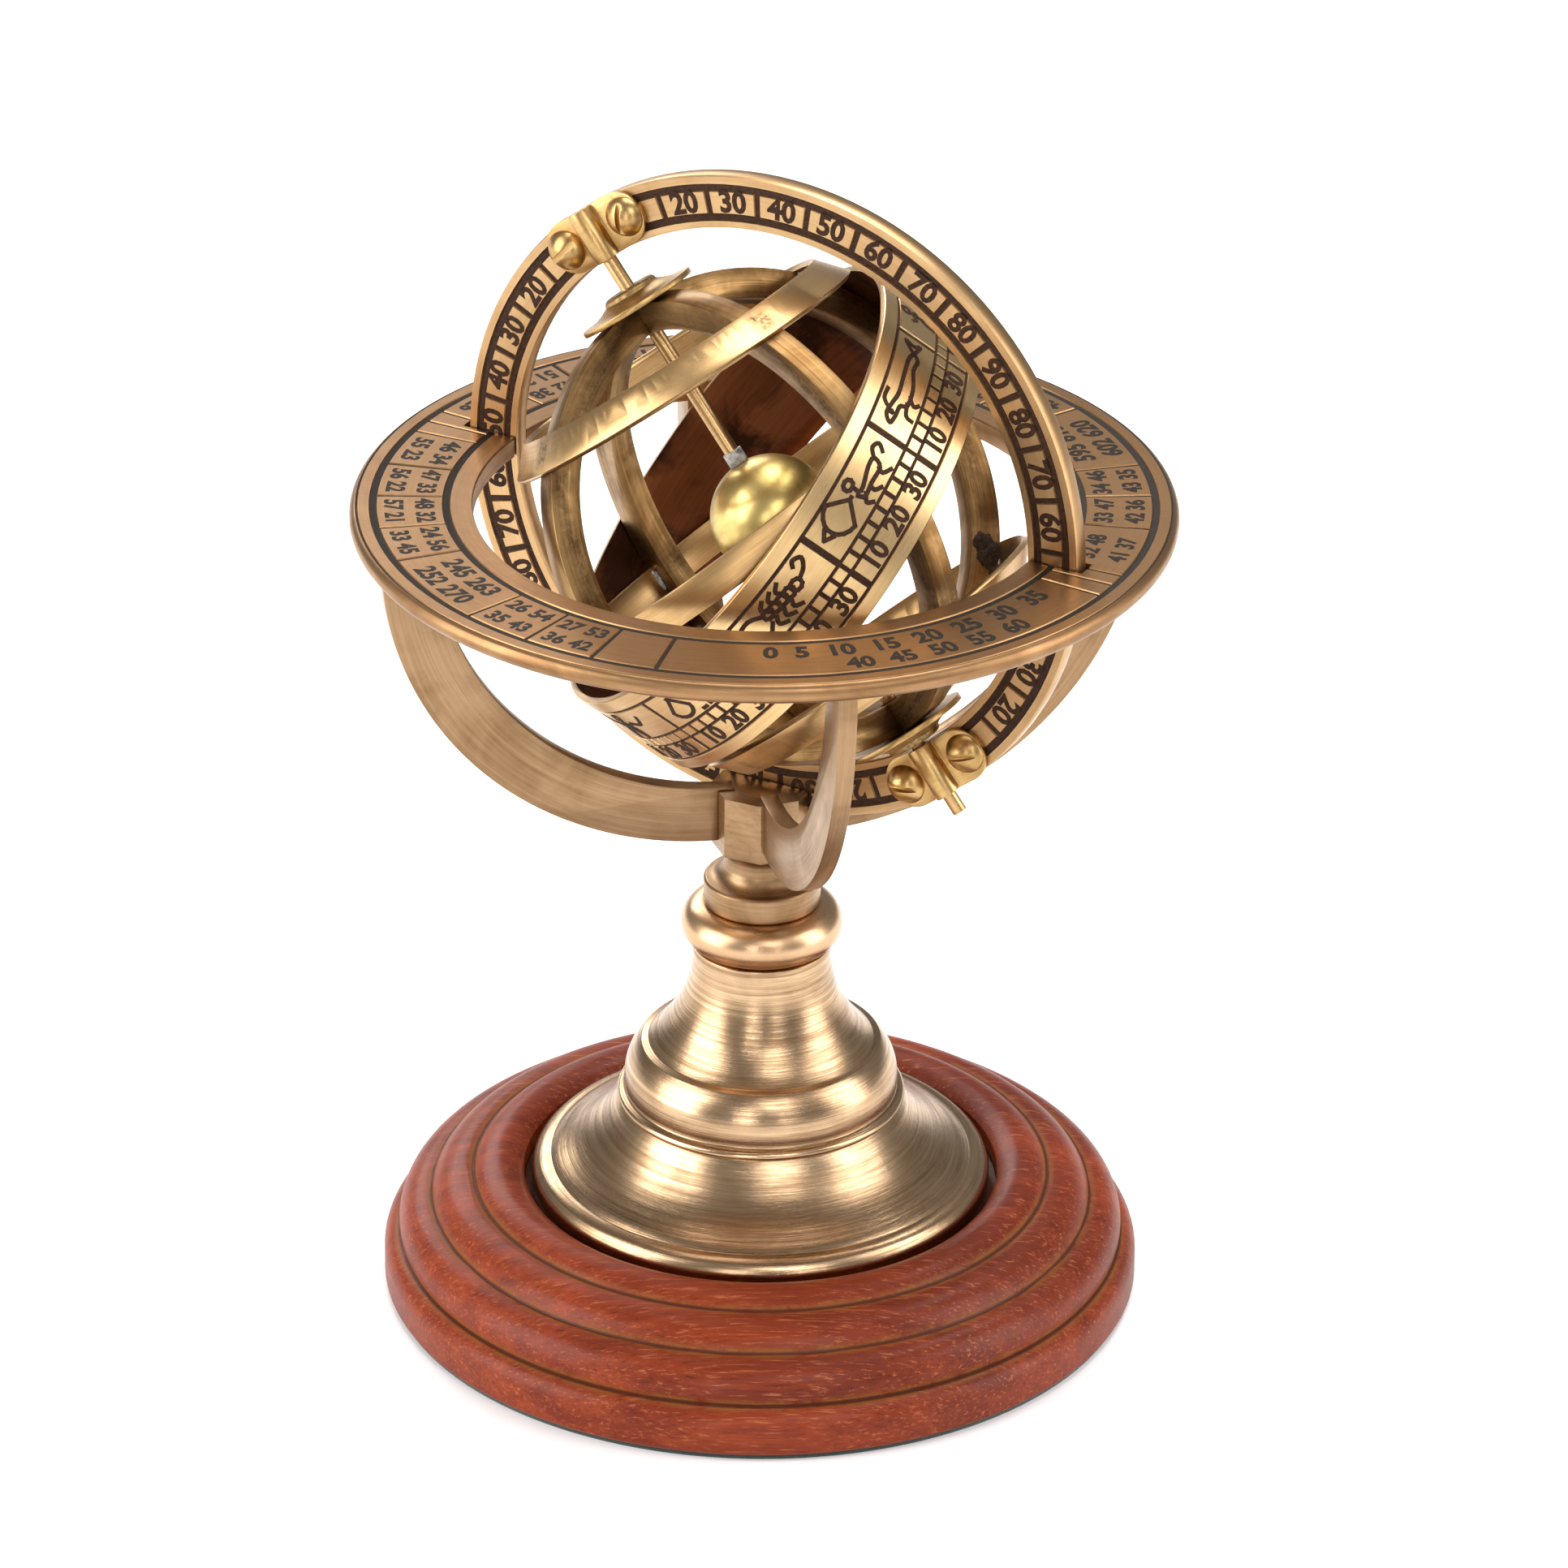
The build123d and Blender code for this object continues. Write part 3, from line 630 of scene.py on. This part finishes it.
def meridian():
    pole_angle = degrees(math.atan2(POLE.z, POLE.dot(ALONG)))
    etch = 0.22
    softened(
        "meridian_ring", MERIDIAN_FRAME, "meridian", ["meridian", "floor"], 0.14,
        shape=lambda p: Vector((p.x, p.y, MERIDIAN_FRONT - etch)) if p.z > MERIDIAN_FRONT - 0.01 else p,
        paint=lambda c, n: 1 if n.z > 0.9 else 0)
    plate = Plate(on_meridian, 42.0)
    plate.cell(0, 360, 38.42, SCALE[0] - 0.85, -etch - 0.06, 0, 0.12)
    plate.cell(0, 360, SCALE[1] + 0.85, 45.78, -etch - 0.06, 0, 0.14)
    numerals = Plate(on_meridian, 42.0)
    for tens in range(36):
        middle = pole_angle - tens * 10
        plate.cell(middle - 4.55, middle + 4.55, SCALE[0], SCALE[1], -etch - 0.06, 0, 0.14)
        from_pole = min(tens % 18, 18 - tens % 18) * 10
        if from_pole >= 20:
            engrave(numerals, str(from_pole), 4.15, middle, sum(SCALE) / 2, -1, 1, -0.08, 0.012, 0.98)
    lands = plate.mesh("meridian_lands")
    smooth_by_angle(lands, 30)
    finished("meridian_lands", lands, MERIDIAN_FRAME, "meridian", ["meridian"])
    finished("meridian_numerals", numerals.mesh("meridian_numerals"), MERIDIAN_FRAME, "meridian", ["floor"])


# ---- Zodiac band ----
BAND_RADIUS = 34.4
BAND_ROWS = {"top_border": (5.75, 7.97), "pictures": (-0.5, 5.4), "ladder": (-2.4, -0.85), "labels": (-5.65, -2.75),
             "low_border": (-7.97, -6.0)}
FIRST_SIGN = 4.0


def on_band(along, across, height):
    a = radians(along)
    r = BAND_RADIUS + height
    return Vector((r * cos(a), r * sin(a), across))


def arc(x, y, r, start, end, steps=9):
    """Points of an arc, with the angles in degrees."""
    turns = [radians(start + (end - start) * k / steps) for k in range(steps + 1)]
    return [(x + r * cos(t), y + r * sin(t)) for t in turns]


def smooth(points, closed=False):
    """A soft curve through a few points."""
    ends = [points[-1]] + points + points[:2] if closed else [points[0]] + points + [points[-1]]
    curve = []
    for a, b, c, d in zip(ends, ends[1:], ends[2:], ends[3:]):
        for k in range(4):
            t = k / 4
            curve.append(tuple(0.5 * (2 * q + (r - p) * t + (2 * p - 5 * q + 4 * r - s) * t * t
                                      + (3 * q - p - 3 * r + s) * t ** 3) for p, q, r, s in zip(a, b, c, d)))
    curve.append(points[0] if closed else points[-1])
    return curve


def four_legs(*more):
    """A walking beast that faces the smaller angle, with what tells it apart added."""
    trunk = [(-3.3, 1.2), (-2.2, 1.5), (0, 1.0), (2.2, 1.3), (3.2, 0.6), (2.9, -0.5), (0.6, -0.4), (-1.7, -0.7), (-2.7, 0.0)]
    head = [(-3.3, 1.2), (-4.2, 1.3), (-5.0, 0.5), (-4.8, -0.1), (-3.9, 0.2), (-2.7, 0.0)]
    legs = [[(x, -0.5), (x - 0.4, -1.3), (x + bend, -2.1)] for x, bend in ((-1.9, 0.2), (-1.2, 0.5), (1.7, -0.2), (2.7, 0.5))]
    return [smooth(trunk, True), smooth(head)] + [smooth(leg) for leg in legs] + [arc(-4.2, 0.8, 0.1, 0, 360, 5)] + list(more)


def person(x, lean=0.0):
    limbs = [[(0, 1.1), (0, -0.4)], [(0, -0.4), (-0.5, -1.3), (-0.7, -2.2)], [(0, -0.4), (0.5, -1.2), (0.9, -2.2)],
             [(0, 0.8), (-0.8, 0.3), (-1.3, 0.7)], [(0, 0.8), (0.8, 0.2), (1.4, 0.5)]]
    return [arc(x, 1.65, 0.5, 0, 360)] + [smooth([(x + px + lean * py, py) for px, py in limb]) for limb in limbs]


def fish(x, y, way):
    outline = [(-2.2, 0), (-1.0, 0.75), (0.6, 0.6), (1.9, 0), (2.6, 0.6), (2.6, -0.6), (1.9, 0), (0.6, -0.6), (-1.0, -0.75)]
    return [smooth([(x + way * px, y + py) for px, py in outline], True), arc(x - way * 1.2, y + 0.15, 0.1, 0, 360, 5)]


def scorpion():
    joints = [arc(2.6 - 0.95 * k, 0.1 * k, 0.62 - 0.02 * k, 0, 360) for k in range(5)]
    claws = [smooth([(-1.6, 0.6 * side), (-3.0, 1.6 * side), (-4.6, 1.3 * side), (-5.2, 0.5 * side), (-4.0, 1.0 * side)])
             for side in (1, -1)]
    legs = [smooth([(x, 0.5 * side), (x - 0.4, 1.3 * side), (x + 0.3, 1.9 * side)]) for x in (-0.9, 0.2, 1.3) for side in (1, -1)]
    sting = smooth([(3.1, 0.1), (4.2, 0.5), (4.9, 1.4), (4.2, 2.0), (3.7, 1.5)])
    return joints + claws + legs + [sting]


def sign_strokes(kind):
    """Plain line pictures for the twelve signs, about ten by four and a half millimetres, centred."""
    bow = arc(-2.3, 0.3, 2.1, 100, 260)
    pictures = [
        lambda: four_legs(arc(-4.0, 1.5, 0.7, -60, 250), smooth([(3.2, 0.6), (3.8, 0.2), (3.7, -0.7)])),
        lambda: four_legs(smooth([(-4.0, 1.3), (-4.9, 1.9), (-5.2, 1.4)]), smooth([(-3.6, 1.3), (-3.2, 2.1), (-3.9, 2.3)]),
                          smooth([(3.2, 0.6), (4.2, 0.8), (4.0, -0.6), (4.6, -1.2)])),
        lambda: person(-1.9, 0.1) + person(1.9, -0.1),
        lambda: [arc(0, 0, 1.5, 0, 360, 14), arc(-0.5, 0.2, 0.2, 0, 360, 6), arc(0.5, 0.2, 0.2, 0, 360, 6)]
        + [smooth([(1.3 * side, y), (2.6 * side, y + 0.5), (3.4 * side, y - 0.6)]) for side in (1, -1) for y in (-0.9, -0.2, 0.6)]
        + [arc(2.6 * side, 1.6, 0.7, 20, 330) for side in (1, -1)],
        lambda: four_legs(arc(-3.4, 0.7, 1.5, 40, 300), smooth([(3.2, 0.6), (4.3, 1.2), (4.9, 2.1), (5.3, 1.6)])),
        lambda: person(-0.6) + [smooth([(-2.0, 0.8), (-3.0, 1.2), (-3.6, 2.1)]), smooth([(0.8, 0.5), (2.2, 0.0), (3.1, 1.2)]),
                                smooth([(-1.6, -2.2), (-1.4, -0.6), (-0.6, 0.2), (0.4, -0.7), (0.6, -2.2)])],
        lambda: [[(-3.4, 1.4), (3.4, 1.4)], [(0, 2.2), (0, -2.1)], [(-1.2, -2.1), (1.2, -2.1)]]
        + [part for x in (-3.2, 3.2) for part in ([(x, 1.4), (x - 1.3, -0.6)], [(x, 1.4), (x + 1.3, -0.6)], arc(x, -0.6, 1.3, 180, 360))],
        scorpion,
        lambda: [bow, [(-2.6, 2.3), (-0.9, 0.3), (-2.6, -1.7)], [(-5.3, 0.3), (-0.6, 0.3)], [(-4.5, 1.0), (-5.4, 0.3), (-4.5, -0.4)],
                 arc(0.1, 1.3, 0.55, 0, 360), smooth([(0.2, 0.7), (0.4, -0.3), (2.6, 0.3), (3.7, 0.2), (3.3, -0.9), (1.6, -0.9), (0.2, -1.0),
                                                      (-0.2, -0.2)]),
                 smooth([(0.5, -0.9), (-0.2, -1.5), (0.2, -2.2)]), smooth([(1.3, -0.9), (1.2, -1.6), (1.8, -2.2)]),
                 smooth([(3.2, -0.8), (3.0, -1.5), (3.8, -2.2)]), smooth([(3.7, 0.2), (4.5, 0.9), (5.2, 0.4), (4.7, -0.4)])],
        lambda: [smooth([(-3.0, 0.9), (-4.3, 1.1), (-5.0, 0.3), (-4.1, 0.0), (-2.9, -0.1), (-2.3, -0.9), (-0.3, -0.9), (1.8, -0.3), (3.4, -0.5),
                         (4.3, 0.6), (5.2, 1.4), (5.0, 0.3), (5.4, -0.5), (4.2, 0.0), (3.0, 0.6), (1.0, 0.7), (-1.6, 0.6)], True),
                 smooth([(-3.7, 1.1), (-3.0, 2.0), (-1.8, 2.0)]), smooth([(-2.2, -0.8), (-3.4, -1.2), (-3.6, -2.1)]),
                 smooth([(-1.3, -0.9), (-2.0, -1.6), (-1.6, -2.2)]), arc(-3.9, 0.6, 0.1, 0, 360, 5)],
        lambda: person(-2.2) + [smooth([(-0.9, 0.9), (0.4, 1.5), (1.5, 1.0), (0.9, 0.1), (-0.4, 0.2)], True)]
        + [smooth([(1.4, 0.7 - d), (2.3, 0.2 - d), (3.0, -0.5 - d), (3.9, -0.9 - d), (4.8, -0.8 - d)]) for d in (0.0, 0.6, 1.2)],
        lambda: fish(-1.4, 1.2, 1) + fish(1.4, -1.2, -1) + [smooth([(-3.6, 1.2), (-4.6, 0.0), (0, 0.1), (4.6, 0.0), (3.6, -1.2)])],
    ]
    return pictures[kind % len(pictures)]()


def zodiac():
    etch = 0.14
    softened(
        # Painted shade: the band's inward faces take the near-black inside finish.
        "zodiac_band", ZODIAC_FRAME, "cage", ["inside", "floor", "hoop"], 0.06,
        shape=lambda p: Vector((p.x, p.y, 0)) * ((BAND_RADIUS - etch) / p.xy.length) + Vector((0, 0, p.z))
        if p.xy.length > BAND_RADIUS - 0.02 else p,
        paint=lambda c, n: 1 if n.xy.dot(c.xy) > 20 else (0 if n.xy.dot(c.xy) < -20 else 2))
    plate = Plate(on_band, BAND_RADIUS)
    drawing = Plate(on_band, BAND_RADIUS)
    floor = -etch - 0.05
    for border in ("top_border", "low_border"):
        plate.cell(0, 360, *BAND_ROWS[border], floor, 0.02, 0.12, 2.5)
    for sign in range(12):
        start = FIRST_SIGN + 30 * sign
        thick = degrees(0.42 / BAND_RADIUS)
        plate.cell(start + thick, start + 30 - thick, *BAND_ROWS["pictures"], floor, 0.0, 0.08, 2.5)
        plate.cell(start + thick, start + 30 - thick, *BAND_ROWS["labels"], floor, 0.0, 0.08, 2.5)
        for rung in range(8):
            low = start + 3.75 * rung
            thin = degrees(0.28 / BAND_RADIUS)
            plate.cell(low + thin, low + 3.75 - thin, *BAND_ROWS["ladder"], floor, 0.0, 0.06, 2.5)
        middle = start + 15
        for stroke in sign_strokes(sign + 9):
            shifted = [(x * 1.42 + radians(middle) * BAND_RADIUS, y * 1.18 + 2.45) for x, y in stroke]
            drawing.ribbon(shifted, 0.62, -0.06, 0.04)
        for part, text in enumerate(("10", "20", "30")):
            engrave(drawing, text, 3.7, start + 6 + 9 * part, -4.2, 1, 1, -0.06, 0.045, 1.0)
    lands = plate.mesh("zodiac_lands")
    smooth_by_angle(lands, 30)
    finished("zodiac_lands", lands, ZODIAC_FRAME, "cage", ["zodiac"])
    finished("zodiac_drawing", drawing.mesh("zodiac_drawing"), ZODIAC_FRAME, "cage", ["floor"])


# ---- Soldered joints of the cage ----
HOOPS = {"north_hoop": (24.4, 23.95, 0.0), "equator_hoop": (33.2, 0.2, 5.0), "south_hoop": (24.4, -23.95, 3.0)}


def crossings(radius, height, lean):
    """Where a hoop meets the four legs of the colures."""
    at = hoop_frame(height, lean)
    back = CAGE_FRAME.inverted()
    points = []
    for leg in range(4):
        target = radians(90 * leg)
        best = None
        for step in range(720):
            angle = radians(step / 2)
            point = at @ Vector((radius * MM * cos(angle), radius * MM * sin(angle), 0))
            local = back @ point
            miss = abs((math.atan2(local.y, local.x) - target + pi) % (2 * pi) - pi)
            if best is None or miss < best[0]:
                best = (miss, point)
        points.append(best[1])
    return points


def solder_blob(name, point, outward, along, size, seed, finish="solder"):
    """A flat, uneven lump that has run along the joint: solder with the solder finish, a black lump of painted shade
    with the near-black finish.
    """
    bm = bmesh.new()
    bmesh.ops.create_icosphere(bm, subdivisions=4, radius=1.0)
    for vertex in bm.verts:
        ripple = noise.fractal(vertex.co * 1.3 + Vector((seed, seed * 0.7, 0)), 0.9, 2.1, 4)
        vertex.co *= 1 + 0.28 * ripple
    mesh = bpy.data.meshes.new(name)
    long, wide, thick = size
    bmesh.ops.scale(bm, vec=(long * MM, wide * MM, thick * MM), verts=bm.verts)
    bm.to_mesh(mesh)
    bm.free()
    smooth_by_angle(mesh, 80)
    x_axis = (along - outward * along.dot(outward)).normalized()
    finished(name, mesh, placed(x_axis, outward, point), "cage", [finish])


def burnt_joint(joint):
    """Painted shade: at one joint, black lumps of painted shade run down the side of the colure."""
    out = (joint - CAGE_FRAME.translation).normalized()
    near = out.cross(POLE).normalized()
    if near.y > 0:
        near = -near
    for lump, (up, size) in enumerate([(-2.0, (2.4, 2.4, 0.6)), (0.8, (2.2, 2.3, 0.6)), (3.0, (1.8, 1.5, 0.45))]):
        spot = joint + near * 1.65 * MM + POLE * up * MM - out * 1.0 * MM
        solder_blob(f"painted_shade_lump_{lump}", spot, near, POLE, size, 5.0 + lump, "painted_shade_black")


def cage():
    spots = []
    for name, (radius, height, lean) in HOOPS.items():
        legs = crossings(radius - 0.5, height, lean)
        spots += legs
        hoop = softened(name, hoop_frame(height, lean), "cage", ["hoop"], 0.12)
        blacken(hoop, legs, 2.6)
        for leg, point in enumerate(legs):
            out = (point - CAGE_FRAME.translation).normalized()
            side = POLE.cross(out).normalized()
            for hand in (-1, 1):
                corner = point - out * 0.55 * MM + side * hand * 1.75 * MM
                long = random.uniform(1.2, 1.7)
                solder_blob(f"{name}_solder_{leg}_{'left' if hand < 0 else 'right'}", corner, out, POLE,
                            (long, 0.42, 0.5), leg * 3.1 + hand + radius)
        # Painted shade: black lumps at the south hoop's rightmost joint.
        if name == "south_hoop":
            burnt_joint(max(legs, key=lambda point: point.x))
    hub_points = [CAGE_FRAME @ Vector((0, 0, sign * 33.4 * MM)) for sign in (1, -1)]
    zodiac_points = [ZODIAC_FRAME @ Vector((33.4 * MM * cos(a), 33.4 * MM * sin(a), 0)) for a in (0, pi / 2, pi, 3 * pi / 2)]
    spots += hub_points + zodiac_points
    for node, at in (("equinoctial_colure", EQUINOX_FRAME), ("solstitial_colure_left", SOLSTICE_FRAME),
                     ("solstitial_colure_right", SOLSTICE_FRAME)):
        ring = softened(node, at, "cage", ["colure"], 0.16)
        blacken(ring, spots, 5.5)
    for node in ("north_cap", "south_cap"):
        cap = softened(node, CAGE_FRAME, "cage", ["strap"], 0.15)
        blacken(cap, hub_points, 6.5)


# ---- Stand, rod, ball, straps ----
def arm_frame(angle):
    """Local Z is the plate's flat face, and the arc's centre is the origin, so that brush marks follow the arc."""
    a = radians(angle)
    out = Vector((cos(a), sin(a), 0))
    middle = out * 6.0 * MM + Vector((0, 0, 113.4 * MM))
    return placed(out, Vector((sin(a), -cos(a), 0)), middle)


def stand():
    wood = softened("wood_base", ROW_FRAME, "stand", ["wood"], 0.07)
    mark_grooves(wood, 1.3)
    softened("base_felt", ROW_FRAME, "stand", ["felt"], 0.1)
    softened("pedestal", ROW_FRAME, "stand", ["spun"], 0.12)
    softened("pedestal_collar", ROW_FRAME, "stand", ["collar"], 0)
    softened("cradle_hub", ROW_FRAME, "stand", ["cast"], 0.18)
    for name, angle in (("front", -78), ("right", 12), ("back", 102), ("left", -168)):
        softened(f"arm_{name}", arm_frame(angle), "stand", ["cast"], 0.22)
    for node in ("tie_stud", "tie_washer", "tie_nut"):
        softened(node, ROW_FRAME, "stand", ["steel"], 0.15)


def rod_and_ball():
    softened("axis_rod", ROD_FRAME, "meridian", ["hoop"], 0.15)
    softened("earth_ball", BALL_FRAME, "meridian", ["ball"], 0)
    for end in ("north", "south"):
        softened(f"ball_ferrule_{end}", BALL_FRAME, "meridian", ["solder"], 0.1)
    for node, sign in (("north", 1), ("south", -1)):
        outward = POLE * sign
        at = placed(outward.cross(FACING), FACING, CENTRE + outward * 42.1 * MM)
        softened(f"{node}_strap", at, "meridian", ["strap"], 0.12)
        softened(f"{node}_strap_screws", at, "meridian", ["strap"], 0.1)


stand()
horizon()
meridian()
rod_and_ball()
cage()
zodiac()


# ---- Floor, light and camera ----
def paper_floor():
    bm = bmesh.new()
    bmesh.ops.create_grid(bm, x_segments=1, y_segments=1, size=6.0)
    mesh = bpy.data.meshes.new("paper_floor")
    bm.to_mesh(mesh)
    bm.free()
    floor = bpy.data.objects.new("paper_floor", mesh)
    bpy.context.scene.collection.objects.link(floor)
    material, bench, shader, position = new_finish("white_paper")
    tooth = bench.noise(bench.stretch(position, (0.02, 0.02, 0.02)), 1.0, 3.0, 0.5)
    bench.feed(shader.inputs["Base Color"], bench.mix(tooth, (0.93, 0.93, 0.93, 1), (0.95, 0.95, 0.95, 1)))
    shader.inputs["Roughness"].default_value = 0.9
    mesh.materials.append(material)


def softbox(name, spot, aim, size, power):
    """A rectangular studio light that points at aim."""
    light = bpy.data.lights.new(name, "AREA")
    light.shape = "RECTANGLE"
    light.size, light.size_y = size
    light.energy = power
    lamp = bpy.data.objects.new(name, light)
    bpy.context.scene.collection.objects.link(lamp)
    lamp.location = spot
    lamp.rotation_mode = "QUATERNION"
    lamp.rotation_quaternion = (Vector(aim) - Vector(spot)).to_track_quat("-Z", "Y")


def studio():
    world = bpy.data.worlds.new("studio_air")
    world.use_nodes = True
    world.node_tree.nodes["Background"].inputs["Color"].default_value = (1.0, 0.99, 0.98, 1)
    world.node_tree.nodes["Background"].inputs["Strength"].default_value = 0.27
    bpy.context.scene.world = world
    middle = (0, 0, 0.09)
    softbox("overhead_softbox", (0.10, 0.30, 1.15), middle, (0.8, 0.8), 14)
    softbox("left_softbox", (-1.05, -0.30, 0.50), middle, (0.80, 1.1), 16)
    softbox("right_softbox", (1.05, -0.20, 0.50), middle, (0.60, 1.1), 10)
    softbox("front_left_strip", (-0.30, -1.35, 0.42), middle, (0.09, 0.9), 3.0)
    softbox("front_right_strip", (0.50, -1.25, 0.45), middle, (0.09, 0.9), 1.8)
    softbox("front_high_softbox", (0.30, -1.0, 1.0), middle, (0.5, 0.5), 4.0)
    softbox("back_softbox", (-0.42, 1.05, 0.58), middle, (0.6, 0.4), 4.5)


def camera():
    """Looks down from in front."""
    pitch, yaw, roll = radians(27.2567), radians(0.3334), radians(0.4218)
    forward = Vector((sin(yaw) * cos(pitch), cos(yaw) * cos(pitch), -sin(pitch)))
    right = forward.cross(UP).normalized()
    up = right.cross(forward)
    across = right * cos(roll) + up * sin(roll)
    upright = up * cos(roll) - right * sin(roll)
    lens = bpy.data.cameras.new("view_camera")
    lens.sensor_width = 36.0
    lens.lens = 223.6
    lens.clip_start, lens.clip_end = 0.05, 30
    eye = bpy.data.objects.new("view_camera", lens)
    bpy.context.scene.collection.objects.link(eye)
    turn = Matrix((across, upright, -forward)).transposed().to_4x4()
    eye.matrix_world = Matrix.Translation(Vector((-3.912, -1163.184, 674.256)) * MM) @ turn
    bpy.context.scene.camera = eye


paper_floor()
studio()
camera()
bpy.context.scene.view_settings.view_transform = "Standard"
